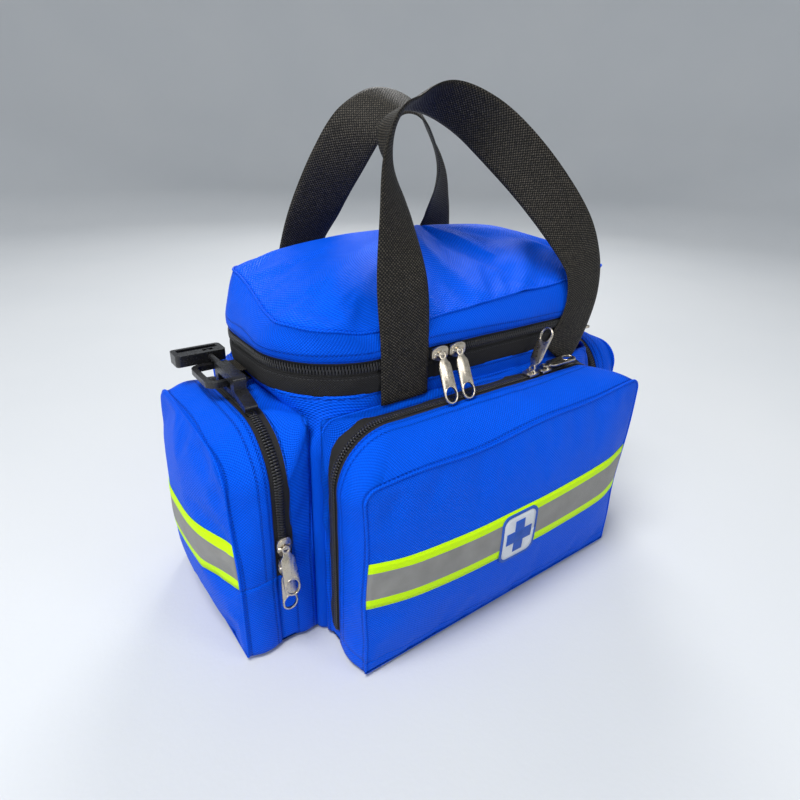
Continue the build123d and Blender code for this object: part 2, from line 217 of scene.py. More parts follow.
# ---- materials ----
class Nodes:
    """Short way to write a node tree."""

    def __init__(self, name):
        self.material = bpy.data.materials.new(name)
        self.material.use_nodes = True
        self.tree = self.material.node_tree
        self.shader = self.tree.nodes["Principled BSDF"]

    def add(self, kind, **values):
        node = self.tree.nodes.new(kind)
        for key, value in values.items():
            setattr(node, key, value)
        return node

    def link(self, out, into):
        self.tree.links.new(out, into)

    def math(self, operation, a, b=0.0, c=0.0):
        node = self.add("ShaderNodeMath", operation=operation)
        for socket, value in zip(node.inputs, (a, b, c)):
            if isinstance(value, (int, float)):
                socket.default_value = value
            else:
                self.link(value, socket)
        return node.outputs[0]

    def uv(self, layer):
        split = self.add("ShaderNodeSeparateXYZ")
        self.link(self.add("ShaderNodeUVMap", uv_map=layer).outputs[0], split.inputs[0])
        return split.outputs[0], split.outputs[1]

    def mix(self, factor, a, b):
        node = self.add("ShaderNodeMix", data_type="RGBA")
        for socket, value in ((node.inputs[0], factor), (node.inputs[6], a), (node.inputs[7], b)):
            if isinstance(value, (int, float)):
                socket.default_value = value
            elif isinstance(value, tuple):
                socket.default_value = (*value, 1.0)
            else:
                self.link(value, socket)
        return node.outputs[2]

    def noise(self, scale, detail=3.0, space="Object"):
        node = self.add("ShaderNodeTexNoise")
        node.inputs["Scale"].default_value = scale
        node.inputs["Detail"].default_value = detail
        self.link(self.add("ShaderNodeTexCoord").outputs[space], node.inputs["Vector"])
        return node.outputs["Fac"]

    def bump(self, height, distance, strength=1.0, normal=None):
        node = self.add("ShaderNodeBump")
        node.inputs["Distance"].default_value = distance
        node.inputs["Strength"].default_value = strength
        self.link(height, node.inputs["Height"])
        if normal is not None:
            self.link(normal, node.inputs["Normal"])
        return node.outputs[0]

    def finish(self, base, normal, roughness, **numbers):
        """Feed the shader and return the material; numbers are further sockets by name."""
        self.link(base, self.shader.inputs["Base Color"])
        self.link(normal, self.shader.inputs["Normal"])
        if isinstance(roughness, float):
            self.shader.inputs["Roughness"].default_value = roughness
        else:
            self.link(roughness, self.shader.inputs["Roughness"])
        for name, value in numbers.items():
            self.shader.inputs[name.replace("_", " ")].default_value = value
        return self.material

    def wave(self, coordinate, pitch, phase=0.0):
        """Sine of a coordinate in metres, 0 to 1."""
        turned = self.math("MULTIPLY_ADD", coordinate, 2 * math.pi / pitch, phase)
        return self.math("MULTIPLY_ADD", self.math("SINE", turned), 0.5, 0.5)

    def weave(self, u, v, pitch):
        """Plain weave: warp and weft take turns to lie on top."""
        warp = self.math("SINE", self.math("MULTIPLY", u, 2 * math.pi / pitch))
        weft = self.math("SINE", self.math("MULTIPLY", v, 2 * math.pi / pitch))
        return self.math("MULTIPLY_ADD", self.math("MULTIPLY", warp, weft), 0.5, 0.5)

    def band(self, coordinate, centre, half):
        """1 within half of the centre, soft at its edges."""
        away = self.math("ABSOLUTE", self.math("SUBTRACT", coordinate, centre))
        node = self.add("ShaderNodeMapRange", interpolation_type="SMOOTHSTEP")
        self.link(away, node.inputs[0])
        node.inputs[1].default_value = half
        node.inputs[2].default_value = half * 0.45
        return node.outputs[0]

    def stitches(self, along, distance, rows, length=0.0026, gap=0.42):
        """Rows of stitches at these distances from a seam: (thread mask, groove mask)."""
        thread = None
        groove = None
        for offset in rows:
            line = self.band(distance, offset, 0.00040)
            dent = self.band(distance, offset, 0.0011)
            thread = line if thread is None else self.math("MAXIMUM", thread, line)
            groove = dent if groove is None else self.math("MAXIMUM", groove, dent)
        dash = self.math("GREATER_THAN", self.wave(along, length), gap)
        return self.math("MULTIPLY", thread, dash), groove


def nylon(name, rows_first=(), rows_last=(), colour=(0.001, 0.125, 0.92), deep=(0.0006, 0.028, 0.46)):
    """Coated nylon in a plain weave; stitch rows at distances from the first and last edge."""
    m = Nodes(name)
    u, v = m.uv("cloth")
    drift = m.math("MULTIPLY", m.noise(9.0, 2.0), 0.004)
    weave = m.weave(m.math("ADD", u, drift), m.math("ADD", v, drift), 0.0021)
    worn = m.noise(22.0)
    base = m.mix(m.math("MULTIPLY_ADD", weave, 0.75, 0.2), deep, colour)
    base = m.mix(m.math("MULTIPLY", worn, 0.25), base, colour)
    fine = m.bump(weave, 0.0006, 0.9)
    soft = m.bump(m.noise(42.0, 4.0), 0.0030, 0.40, fine)
    first, last = m.uv("edge")
    for rows, distance in ((rows_first, first), (rows_last, last)):
        if not rows:
            continue
        thread, groove = m.stitches(u, distance, rows)
        # Painted shade: the fabric in the dent along each stitch row is darkened in colour, as well as
        # dented by the bump.
        base = m.mix(m.math("MULTIPLY", groove, 0.22), base, (0.002, 0.02, 0.30))
        base = m.mix(m.math("MULTIPLY", thread, 0.55), base, (0.001, 0.010, 0.16))
        height = m.math("SUBTRACT", m.math("MULTIPLY", thread, 0.5), groove)
        soft = m.bump(height, 0.0007, 0.7, soft)
    return m.finish(base, soft, 0.5, Specular_IOR_Level=0.13, Specular_Tint=(0.25, 0.55, 1.0, 1.0))


def black_cloth(name, pitch=0.001, fleck=0.5, roughness=0.75, rows=()):
    """Black tape or band with a woven surface."""
    m = Nodes(name)
    u, v = m.uv("cloth")
    weave = m.weave(u, v, pitch)
    base = m.mix(m.math("MULTIPLY", weave, fleck), (0.006, 0.006, 0.007), (0.05, 0.047, 0.045))
    normal = m.bump(weave, 0.0003, 0.9)
    normal = m.bump(m.noise(60.0), 0.001, 0.3, normal)
    if rows:
        first, last = m.uv("edge")
        thread, groove = m.stitches(u, last, rows)
        base = m.mix(m.math("MULTIPLY", thread, 0.6), base, (0.06, 0.06, 0.06))
        normal = m.bump(m.math("SUBTRACT", thread, groove), 0.0006, 0.7, normal)
    return m.finish(base, normal, roughness, Specular_IOR_Level=0.25)


def webbing_material():
    """Heavy black webbing: ribs across the strap, flecked with the light on each thread."""
    m = Nodes("webbing")
    u, v = m.uv("cloth")
    rib = m.wave(u, 0.0021)
    column = m.wave(v, 0.0024)
    shift = m.math("MULTIPLY", m.math("GREATER_THAN", column, 0.5), math.pi)
    thread = m.math("SINE", m.math("ADD", m.math("MULTIPLY", u, 2 * math.pi / 0.0021), shift))
    thread = m.math("MULTIPLY_ADD", thread, 0.5, 0.5)
    glint = m.math("MULTIPLY_ADD", m.noise(900.0, 1.0), 1.6, -0.35)
    fleck = m.math("MULTIPLY", m.math("POWER", thread, 3.0), glint)
    base = m.mix(fleck, (0.0035, 0.0033, 0.003), (0.15, 0.13, 0.10))
    height = m.math("ADD", m.math("MULTIPLY", thread, 0.7), m.math("MULTIPLY", rib, 0.3))
    return m.finish(base, m.bump(height, 0.0005, 0.9), 0.6, Specular_IOR_Level=0.18)


def coil_material():
    m = Nodes("zip_coil")
    base = m.mix(m.noise(300.0), (0.012, 0.012, 0.013), (0.040, 0.038, 0.036))
    return m.finish(base, m.bump(m.noise(1500.0), 0.0002, 0.4), 0.3)


def tape_material():
    """Reflective tape: silver between lime edges, with a fine embossed grain."""
    m = Nodes("reflective_tape")
    u, v = m.uv("cloth")
    first, last = m.uv("edge")
    edge = m.math("MINIMUM", first, last)
    lime = m.math("LESS_THAN", edge, 0.0072)
    weave = m.weave(u, v, 0.0012)
    silver = m.mix(m.noise(70.0), (0.20, 0.195, 0.185), (0.30, 0.295, 0.28))
    bright = m.mix(weave, (0.46, 0.80, 0.0), (0.66, 1.0, 0.0))
    ridge = m.bump(lime, 0.0004, 0.5, m.bump(weave, 0.00018, 0.6))
    thread, groove = m.stitches(u, edge, (0.0012,))
    normal = m.bump(m.math("SUBTRACT", thread, groove), 0.0005, 0.6, ridge)
    return m.finish(m.mix(lime, silver, bright), normal, 0.5, Specular_IOR_Level=0.15)


def metal_material():
    """Nickel plate, softly brushed, warm in tone and scuffed at random all over."""
    m = Nodes("zip_nickel")
    scuff = m.noise(420.0, 5.0)
    base = m.mix(scuff, (0.46, 0.40, 0.31), (0.68, 0.62, 0.52))
    rough = m.math("MULTIPLY_ADD", scuff, 0.22, 0.18)
    return m.finish(base, m.bump(m.noise(900.0, 4.0), 0.0001, 0.5), rough, Metallic=1.0)


def plastic_material():
    m = Nodes("moulded_black")
    base = m.mix(m.noise(160.0), (0.008, 0.008, 0.009), (0.018, 0.017, 0.017))
    rough = m.math("MULTIPLY_ADD", m.noise(240.0), 0.2, 0.18)
    return m.finish(base, m.bump(m.noise(700.0), 0.0002, 0.3), rough)


def patch_material(name, light, dark):
    """Satin-stitched badge cloth."""
    m = Nodes(name)
    u, v = m.uv("cloth")
    ribs = m.wave(m.math("ADD", u, v), 0.0008)
    return m.finish(m.mix(ribs, dark, light), m.bump(ribs, 0.0003, 0.7), 0.6)


NYLON = nylon("nylon_blue")
NYLON_SEAMED = nylon("nylon_seamed", (0.0022, 0.0075), (0.003,))
NYLON_FLANGE = nylon("nylon_flange", (0.003,), (0.0025,))
NYLON_FACE = nylon("nylon_face")
NYLON_ENDS = nylon("nylon_ends", (0.0028, 0.0088))
NYLON_FACE_LOW = nylon("nylon_face_low")
NYLON_LID = nylon("nylon_lid", (0.0025, 0.0085))
BAND_CLOTH = black_cloth("band_cloth", 0.0016, 0.45, 0.9, (0.002,))
TAPE_CLOTH = black_cloth("zip_tape", 0.0008, 0.8, 0.7)
COIL = coil_material()
WEBBING = webbing_material()
REFLECTIVE = tape_material()
NICKEL = metal_material()
PLASTIC = plastic_material()
PATCH_WHITE = patch_material("patch_white", (0.80, 0.83, 0.88), (0.60, 0.64, 0.70))
PATCH_BLUE = patch_material("patch_blue", (0.01, 0.12, 0.62), (0.005, 0.06, 0.38))


# ---- cloth simulation ----
def inflate(sheets, pressure=4.0, frames=20):
    """Blow up pinned sheets with Cloth and return their new points.

    Each sheet is (name, grid, pinned, wrap, cap, slack): pinned marks the sewn border, cap
    is the furthest that a point may move in millimetres, and slack is the spare cloth.
    """
    made = []
    for name, grid, pinned, wrap, cap, slack in sheets:
        rows, columns = grid.shape[:2]
        index = np.arange(rows * columns).reshape(rows, columns)
        mesh = bpy.data.meshes.new(name)
        mesh.from_pydata((grid.reshape(-1, 3) * MM).tolist(), [], quads(rows, columns, wrap).tolist())
        obj = bpy.data.objects.new(name, mesh)
        bpy.context.scene.collection.objects.link(obj)
        group = obj.vertex_groups.new(name="sewn")
        group.add([int(i) for i in index[pinned]], 1.0, "REPLACE")
        cloth = obj.modifiers.new("cloth", "CLOTH")
        cloth.settings.vertex_group_mass = "sewn"
        cloth.settings.quality = 6
        cloth.settings.mass = 0.2
        cloth.settings.tension_stiffness = 30
        cloth.settings.compression_stiffness = 30
        cloth.settings.shear_stiffness = 12
        cloth.settings.bending_stiffness = 4.0
        cloth.settings.use_pressure = True
        cloth.settings.uniform_pressure_force = pressure
        cloth.settings.shrink_min = -slack
        cloth.settings.effector_weights.gravity = 0.0
        cloth.point_cache.frame_start = 1
        cloth.point_cache.frame_end = frames
        made.append(obj)
    for step in range(1, frames + 1):
        bpy.context.scene.frame_set(step)
    graph = bpy.context.evaluated_depsgraph_get()
    results = []
    for obj, (name, grid, pinned, wrap, cap, slack) in zip(made, sheets):
        shape = obj.evaluated_get(graph).to_mesh()
        points = np.empty(len(shape.vertices) * 3)
        shape.vertices.foreach_get("co", points)
        move = points.reshape(grid.shape) / MM - grid
        size = np.linalg.norm(move, axis=-1, keepdims=True)
        results.append(grid + move * np.minimum(1.0, cap / np.maximum(size, 1e-6)))
    for obj in made:
        mesh = obj.data
        bpy.data.objects.remove(obj)
        bpy.data.meshes.remove(mesh)
    bpy.context.scene.frame_set(1)
    return results


# ---- shared shapes ----
def resample(points, pitch):
    """Places at an even pitch along an open path, as fractional indices."""
    run = np.concatenate([[0.0], np.cumsum(np.linalg.norm(np.diff(points, axis=0), axis=1))])
    places = np.arange(pitch / 2, run[-1], pitch)
    return np.interp(places, run, np.arange(len(points)))


def at(values, places):
    """Values of an array at fractional indices."""
    low = np.clip(np.floor(places).astype(int), 0, len(values) - 2)
    part = (places - low)[:, None]
    return values[low] * (1 - part) + values[low + 1] * part


def unit(vectors):
    return vectors / np.maximum(np.linalg.norm(vectors, axis=-1, keepdims=True), 1e-9)


def add_coil(sheet, path, out, across, slot, phase):
    """One half of a zip coil: a row of rounded teeth along a path."""
    places = resample(path, PITCH)
    step = places[1] - places[0]
    places = np.clip(places + phase * step / 2, 0, len(path) - 1)
    centres = at(path, places)
    outs = unit(at(out, places))
    sides = unit(at(across, places))
    alongs = unit(np.cross(outs, sides))
    turns = np.arange(6) * math.pi / 3
    stations = ((-0.35, 0.66, 0.75), (0.9, 0.46, 0.85), (2.2, 0.50, 0.72), (COIL_HALF, 0.30, 0.25))
    faces = []
    for k in range(len(stations) - 1):
        for j in range(6):
            faces.append([6 * k + j, 6 * k + (j + 1) % 6, 6 * k + 6 + (j + 1) % 6, 6 * k + 6 + j])
    faces.append([5, 4, 3, 2, 1, 0])
    faces.append([6 * len(stations) - 6 + j for j in range(6)])
    for centre, n, side, along in zip(centres, outs, sides, alongs):
        tooth = []
        for reach, half, high in stations:
            for turn in turns:
                lift = COIL_LIFT + high * math.sin(turn)
                tooth.append(centre + side * reach + along * half * math.cos(turn) * 1.25 + n * lift)
        sheet.solid(tooth, faces, slot)


def add_tube(sheet, path, radius, slot, sides=8, closed=False, flat=1.0, up=(0, 0, 1)):
    """Round or flattened bead along a path."""
    path = np.asarray(path, float)
    tangent = np.gradient(path, axis=0)
    if closed:
        tangent = np.roll(path, -1, axis=0) - np.roll(path, 1, axis=0)
    tangent = unit(tangent)
    side = unit(np.cross(tangent, np.broadcast_to(np.asarray(up, float), tangent.shape)))
    top = unit(np.cross(side, tangent))
    turns = np.linspace(0, 2 * math.pi, sides + 1)
    rings = [path + radius * (side * math.cos(t) + top * flat * math.sin(t)) for t in turns]
    grid = np.stack(rings, axis=0)
    if closed:
        grid = np.concatenate([grid, grid[:, :1]], axis=1)
    sheet.grid(grid, slot)


# ---- upright loops round the bag ----
HINGE_HALF = 60.0       # half the length of the fabric hinge behind
HINGE_COLUMNS = 40      # the first columns of a loop lie along it


def loop(length, width, radius, z):
    """Closed loop of columns, from the right end of the fabric hinge round by the left end.

    radius is one number, or one for each corner: rear left, front left, front right, rear right.
    """
    hx, hy = length / 2, width / 2
    rl, fl, fr, rr = np.broadcast_to(radius, (4,))

    def line(a, b, n):
        t = np.arange(n)[:, None] / n
        return np.array(a) * (1 - t) + np.array(b) * t

    def arc(cx, cy, r, start, n):
        t = np.radians(start) + np.arange(n) / n * math.pi / 2
        return np.stack([cx + r * np.cos(t), cy + r * np.sin(t)], axis=-1)

    parts = [
        line((HINGE_HALF, hy), (-HINGE_HALF, hy), HINGE_COLUMNS),
        line((-HINGE_HALF, hy), (rl - hx, hy), 10),
        arc(rl - hx, hy - rl, rl, 90, 24),
        line((-hx, hy - rl), (-hx, fl - hy), 18),
        arc(fl - hx, fl - hy, fl, 180, 24),
        line((fl - hx, -hy), (hx - fr, -hy), 70),
        arc(hx - fr, fr - hy, fr, 270, 24),
        line((hx, fr - hy), (hx, hy - rr), 18),
        arc(hx - rr, hy - rr, rr, 0, 24),
        line((hx - rr, hy), (HINGE_HALF, hy), 10),
    ]
    flat = np.concatenate(parts)
    z = np.broadcast_to(z, (len(flat),))
    return np.concatenate([flat, z[:, None]], axis=1)


ZIP_LOOP = loop(ZIP_L, ZIP_W, ZIP_R, 0.0)
LOOP_RUN = arc_length(ZIP_LOOP, 0) / MM
LOOP_BACK = unit(np.roll(ZIP_LOOP, 1, axis=0) - np.roll(ZIP_LOOP, -1, axis=0))
LOOP_OUT = np.stack([-LOOP_BACK[:, 1], LOOP_BACK[:, 0], np.zeros(len(LOOP_BACK))], axis=-1)
LOOP_OUT *= np.sign((LOOP_OUT * ZIP_LOOP).sum())


def puckers(run, depth_from_seam, pitch, size, seed):
    """Little gathers that run away from a seam and die out."""
    wave = np.sin(run / pitch + 1.7 * np.sin(run / (3.1 * pitch) + seed) + seed)
    wave += 0.6 * np.sin(run / (0.57 * pitch) + 2.0 * np.sin(run / (4.3 * pitch)) + 2 * seed)
    return size * wave * np.exp(-depth_from_seam / 9.0)


# ---- body ----
def body_fabric():
    low = (BODY_L, BODY_W, 8.0)
    high = (ZIP_L, ZIP_W, ZIP_R)
    rows = []
    for inset, z in ((14.0, 0.0), (3.0, 0.0), (0.9, 0.7), (0.0, 3.0)):
        rows.append(loop(low[0] - 2 * inset, low[1] - 2 * inset, max(low[2] - inset, 1.0), z))
    for z in np.concatenate([np.linspace(12, 156, 19), np.linspace(160, COLLAR_TOP, 12)]):
        w = smooth(z, 150.0, COLLAR_TOP + 4)
        flare = smooth(z, WALL_TOP - 6, COLLAR_TOP + 2)
        size = [a * (1 - flare) + b * flare for a, b in zip(low, high)]
        points = loop(size[0], size[1], low[2] * (1 - w) + high[2] * w, z)
        fold = puckers(LOOP_RUN, abs(COLLAR_TOP - z), 9.0, 0.5, 1.0)
        rows.append(points + LOOP_OUT * (fold - 0.4 * math.sin(math.pi * z / COLLAR_TOP))[:, None])
    sheet = Sheet()
    sheet.grid(np.stack(rows), 0, wrap=True)
    centre = np.zeros_like(rows[0])
    sheet.grid(np.stack([rows[0], rows[0] * 0.5, centre]), 0, wrap=True, flip=True)
    sheet.build(
        "body_fabric", "bag", [NYLON_FLANGE], thick=FABRIC,
        nodes=("floor_panel", "front_wall", "rear_wall", "left_wall", "right_wall", "collar"),
    )


def band_fabric():
    """Black band between the body and the zip, gathered a little along its seam."""
    rows = []
    for z in np.linspace(COLLAR_TOP - 0.5, BAND_TOP - 1.0, 10):
        t = min(max((z - COLLAR_TOP) / (BAND_TOP - COLLAR_TOP), 0), 1)
        belly = 0.9 * math.sin(math.pi * t)
        wave = puckers(LOOP_RUN, 0.0, 7.0, belly / 2, 3.0)
        rows.append(loop(ZIP_L, ZIP_W, ZIP_R, z) + LOOP_OUT * (belly + wave)[:, None])
    sheet = Sheet()
    sheet.grid(np.stack(rows), 0, wrap=True)
    sheet.build("zip_band_fabric", "bag", [BAND_CLOTH], ("zip_band",), FABRIC)


def main_zip_half(name, body, nodes, z_seam, z_part, phase):
    """Tape and coil of one side of the main zip, with the fabric hinge behind."""
    side = 1.0 if z_seam > z_part else -1.0
    zs = np.linspace(z_seam, z_part + 0.15 * side, 5)
    rows = [loop(ZIP_L, ZIP_W, ZIP_R, z) - 0.3 * LOOP_OUT for z in zs]
    sheet = Sheet()
    sheet.grid(np.stack(rows), 0, wrap=True, flip=side > 0)
    path = rows[-1][HINGE_COLUMNS:]
    path[:, 2] = z_part
    up = np.broadcast_to(np.array([0.0, 0.0, side]), path.shape)
    add_coil(sheet, path, LOOP_OUT[HINGE_COLUMNS:], up, 1, phase)
    sheet.build(name, body, [TAPE_CLOTH, COIL], nodes, merge=False)


# ---- lid ----
def lid_seam():
    """Sewn edge between the gusset and the top: low at the front, squarer and higher on the right."""
    seam = loop(ZIP_L - 7, ZIP_W - 5, (30.0, 34.0, 13.0, 26.0), 0.0)
    x, y = seam[:, 0], seam[:, 1]
    front = np.interp(x, (-140, -100, -50, 0, 60, 110, 141), (229, 223, 223, 227, 232, 236, 240))
    rear = np.interp(x, (-140, -90, 0, 108, 141), (240, 236, 236, 238, 250))
    w = smooth(y, -60.0, 60.0)
    uneven = 0.8 * np.sin(LOOP_RUN / 17.0 + 1.0) + 0.5 * np.sin(LOOP_RUN / 9.0)
    seam[:, 2] = front * (1 - w) + rear * w + uneven
    seam[:, 0] += 11.0 * smooth(-x, 100.0, 141.0) * smooth(y, -50.0, 50.0)
    return seam


# Soft folds in the top panel: start, end, height and width.
CREASES = (
    ((30, -74), (74, -44), 1.3, 7.0),
    ((-14, -74), (24, -52), 0.8, 6.0),
    ((-118, -52), (-84, -28), 1.0, 6.0),
    ((-128, 30), (-92, 10), 0.9, 6.0),
    ((118, -50), (86, -28), 0.9, 7.0),
    ((112, 54), (74, 32), 0.9, 7.0),
)


def lid_fabric():
    seam = lid_seam()
    foot = loop(ZIP_L + 0.8, ZIP_W + 0.8, ZIP_R, LID_EDGE + 0.8)
    rows = []
    for t in np.linspace(0, 1, 16):
        points = foot * (1 - t) + seam * t
        belly = 3.2 * math.sin(math.pi * t ** 0.7)
        height = t * (LID_SEAM - LID_EDGE)
        fold = puckers(LOOP_RUN, height, 11.0, 0.55, 0.4)
        fold += puckers(LOOP_RUN, LID_SEAM - LID_EDGE - height, 13.0, 0.8, 5.0)
        fold *= math.sin(math.pi * min(1.0, t + 0.12))
        slow = 0.9 * math.sin(math.pi * t) * np.sin(LOOP_RUN / 23.0 + 4 * t)
        rows.append(points + LOOP_OUT * (belly + fold + slow)[:, None])
    side = Sheet()
    side.grid(np.stack(rows), 0, wrap=True)
    lap = rows[0] - LOOP_OUT * 1.2
    side.grid(np.stack([lap, rows[0]]), 0, wrap=True)
    side.build("lid_side_fabric", "lid", [NYLON_LID], ("lid_gusset",), FABRIC)

    middle = np.array([4.0, 6.0, LID_TOP + 1.5])
    top = []
    for w in np.concatenate([np.linspace(1.0, 0.86, 8), np.linspace(0.82, 0.04, 24)]):
        points = middle * (1 - w) + seam * w
        points[:, 2] = middle[2] - (middle[2] - seam[:, 2]) * w ** 2.6
        top.append(points)
    top = np.stack(top)
    for start, end, deep, wide in CREASES:
        start, end = np.array(start, float), np.array(end, float)
        along = (end - start) / np.linalg.norm(end - start)
        away = top[..., :2] - start
        t = (away @ along) / np.linalg.norm(end - start)
        off = away @ np.array([-along[1], along[0]])
        fade = smooth(t, -0.05, 0.25) * (1 - smooth(t, 0.45, 1.05))
        top[..., 2] += deep * fade * np.exp(-((off + 0.6 * wide) / wide) ** 2)
        top[..., 2] -= deep * fade * np.exp(-((off - 0.6 * wide) / wide) ** 2)
    pinned = np.zeros(top.shape[:2], bool)
    pinned[:1] = True
    return top, pinned


def finish_lid(top):
    """Top panel with its seam bead, after the simulation."""
    centre = np.broadcast_to(top[-1].mean(axis=0), top[-1:].shape)
    top = np.concatenate([top, centre])
    panel = Sheet()
    panel.grid(top, 0, wrap=True)
    ridge = top[0] + np.array([0, 0, 0.3])
    add_tube(panel, ridge, 0.8, 0, closed=True)
    obj = panel.build("lid_top_fabric", "lid", [NYLON], ("lid_top",), FABRIC)


# ---- pockets ----
class Pocket:
    """One outer pocket in its own frame: x along the wall, d out of the wall, z up."""

    def __init__(self, name, turn, wall, crown, stripe, seed):
        self.name = name
        self.cos = math.cos(math.radians(turn))
        self.sin = math.sin(math.radians(turn))
        self.wall = wall
        self.crown = crown
        self.stripe = stripe
        self.seed = seed
        gusset = self.local_box(name + "_pocket_gusset")
        zipper = self.local_box(name + "_pocket_zip")
        face = self.local_box(name + "_pocket_face")
        base = self.local_box(name + "_pocket_base")
        self.half = base[1][0]
        self.depth = gusset[1][1]
        self.zip_d = zipper[0][1] - 0.1
        self.zip_top = WALL_TOP - 4.5
        self.face_top = face[1][2]
        self.fold = round(float(face[0][2]))
        self.low = base[0][2]
        self.end = abs(turn) == 90
        self.corner = 20.0 if self.end else 9.0
        self.slack = 0.018 if self.end else 0.005
        self.push = {"front": (1, 7.0, 10.0), "left": (1, -11.0, -9.0)}.get(name)

    def local_box(self, node):
        low, high = node_box(node)
        corners = np.array([[low[0], low[1], low[2]], [high[0], high[1], high[2]]])
        x = corners[:, 0] * self.cos + corners[:, 1] * self.sin
        y = -corners[:, 0] * self.sin + corners[:, 1] * self.cos
        local = np.stack([x, -y - self.wall, corners[:, 2]], axis=-1)
        return local.min(axis=0), local.max(axis=0)

    def place(self, points):
        """Pocket points (x, d, z) in the row frame."""
        return self.place_square(self.settle(points))

    def place_square(self, points):
        """The same for a pocket that isn't pushed out of square."""
        x, y, z = points[..., 0], -self.wall - points[..., 1], points[..., 2]
        return np.stack([x * self.cos - y * self.sin, x * self.sin + y * self.cos, z], axis=-1)

    def settle(self, points):
        """Seams wander a little, and the filling pushes one upper corner out of square."""
        x, d, z = points[..., 0], points[..., 1], points[..., 2]
        far = smooth(d, self.zip_d + TAPE_HALF, self.depth)
        side = smooth(np.abs(x), self.half - 25, self.half) * smooth(z, self.fold, self.fold + 25) * far
        top = smooth(z, self.face_top - 30, self.face_top) * far
        moved_x = x + 1.0 * np.sin(z / 14.0 + self.seed) * side
        moved_z = z + 1.1 * np.sin(x / 17.0 + 2 * self.seed) * top
        if self.push is not None:
            way, out, lift = self.push
            w = smooth(way * x, -0.5 * self.half, self.half) * far
            w = w * smooth(z, 0.35 * self.face_top, self.face_top)
            moved_x = moved_x + way * out * w
            moved_z = moved_z + lift * w
        return np.stack([moved_x, d, moved_z], axis=-1)

    def outline(self, d):
        """Columns of the gusset at depth d, up one side, over the top and down the other."""
        near, far = self.zip_d - TAPE_HALF, self.zip_d + TAPE_HALF
        if d <= self.zip_d:
            t = min(1.0, d / near)
            top = WALL_TOP * (1 - t) + self.zip_top * t
            radius = 3 + (POCKET_ARC - 3) * t ** 0.8
        else:
            t = max(0.0, (d - far) / (self.depth - far))
            top = self.zip_top * (1 - t ** 1.25) + self.face_top * t ** 1.25
            radius = POCKET_ARC * (1 - t) ** 0.75 + self.corner * t
        h = self.half
        low_run = 4 if not self.end else 16
        side = np.concatenate([
            np.linspace(self.low, self.fold, low_run + 1)[:-1],
            self.fold + (top - radius - self.fold) * np.linspace(0, 1, 34)[:-1],
        ])
        turn = np.linspace(0, math.pi / 2, 19)
        arc_x = -h + radius - radius * np.cos(turn)
        arc_z = top - radius + radius * np.sin(turn)
        over = np.linspace(-h + radius, h - radius, 61 if not self.end else 37)[1:-1]
        left = np.concatenate([np.stack([np.full(len(side), -h), side], -1), np.stack([arc_x, arc_z], -1)])
        right = left[::-1] * np.array([-1, 1])
        flat = np.concatenate([left, np.stack([over, np.full(len(over), top)], -1), right])
        left_out = np.concatenate([
            np.tile([-1.0, 0.0], (len(side), 1)),
            np.stack([-np.cos(turn), np.sin(turn)], -1),
        ])
        right_out = left_out[::-1] * np.array([-1, 1])
        outs = np.concatenate([left_out, np.tile([0.0, 1.0], (len(over), 1)), right_out])
        points = np.stack([flat[:, 0], np.full(len(flat), d), flat[:, 1]], axis=-1)
        normals = np.stack([outs[:, 0], np.zeros(len(outs)), outs[:, 1]], axis=-1)
        return points, normals, low_run

    def gusset(self, near, far, rows, belly, lift):
        """Rows of the gusset from one depth to another, bellied, with gathers off both seams."""
        grid = []
        for d in np.linspace(near, far, rows):
            points, out, cut = self.outline(d)
            run = arc_length(points[None], 1)[0] / MM
            t = (d - near) / (far - near)
            wave = puckers(run, d - near, 6.5, 0.45, self.seed)
            wave = wave + puckers(run, far - d, 8.0, 0.95, self.seed + 2)
            slow = 0.8 * np.sin(run / 19.0 + 3 * t + self.seed)
            size = belly * math.sin(math.pi * t) + lift * (1 - smooth(t, 0.55, 1.0))
            size = size + (wave + slow) * math.sin(math.pi * min(1, t + 0.06))
            grid.append(points + out * size[:, None])
        return np.stack(grid), cut

    def face(self):
        """Flat grid of the face from its foot to its top seam, ready to be filled."""
        columns = 56 if not self.end else 34
        low_rows = 4 if not self.end else 16
        z = np.concatenate([
            np.linspace(self.low, self.fold, low_rows + 1)[:-1],
            np.linspace(self.fold, self.face_top, 34 if not self.end else 26),
        ])
        x = np.linspace(-self.half, self.half, columns)
        grid = np.stack(np.broadcast_arrays(x[None, :], self.depth, z[:, None]), axis=-1).copy()
        # Square grid corners are drawn in to the rounded upper corners of the panel.
        r = self.corner
        dx = np.clip(np.abs(grid[..., 0]) - (self.half - r), 0, r) / r
        dz = np.clip(grid[..., 2] - (self.face_top - r), 0, r) / r
        grid[..., 0] -= np.sign(grid[..., 0]) * r * dx * (1 - np.sqrt(1 - dz ** 2 / 2))
        grid[..., 2] -= r * dz * (1 - np.sqrt(1 - dx ** 2 / 2))
        s = 1 - (grid[..., 0] / self.half) ** 2
        t = (grid[..., 2] - self.low) / (self.face_top - self.low)
        dome = np.clip(s, 0, 1) ** 0.5 * np.clip(4 * t * (1 - t), 0, 1) ** 0.5
        grid[..., 1] += self.crown * dome + 0.9 * dome * wobble(grid, 34.0, self.seed)
        pinned = np.zeros(grid.shape[:2], bool)
        pinned[0] = pinned[-1] = True
        pinned[:, 0] = pinned[:, -1] = True
        return grid, pinned, low_rows

    def sew(self, face, low_rows):
        """Make every piece of the pocket; face is the filled face in the pocket's frame."""
        name = self.name
        tape_near = self.zip_d - TAPE_HALF
        tape_far = self.zip_d + TAPE_HALF
        inner, cut = self.gusset(0.0, tape_near, 7, 0.6, 0.9)
        outer, cut = self.gusset(tape_far, self.depth, 20, 1.6, 0.9)
        last = inner.shape[1] - 1
        flap = slice(cut, last - cut + 1)
        low_left = slice(0, cut + 1)
        low_right = slice(last - cut, last + 1)

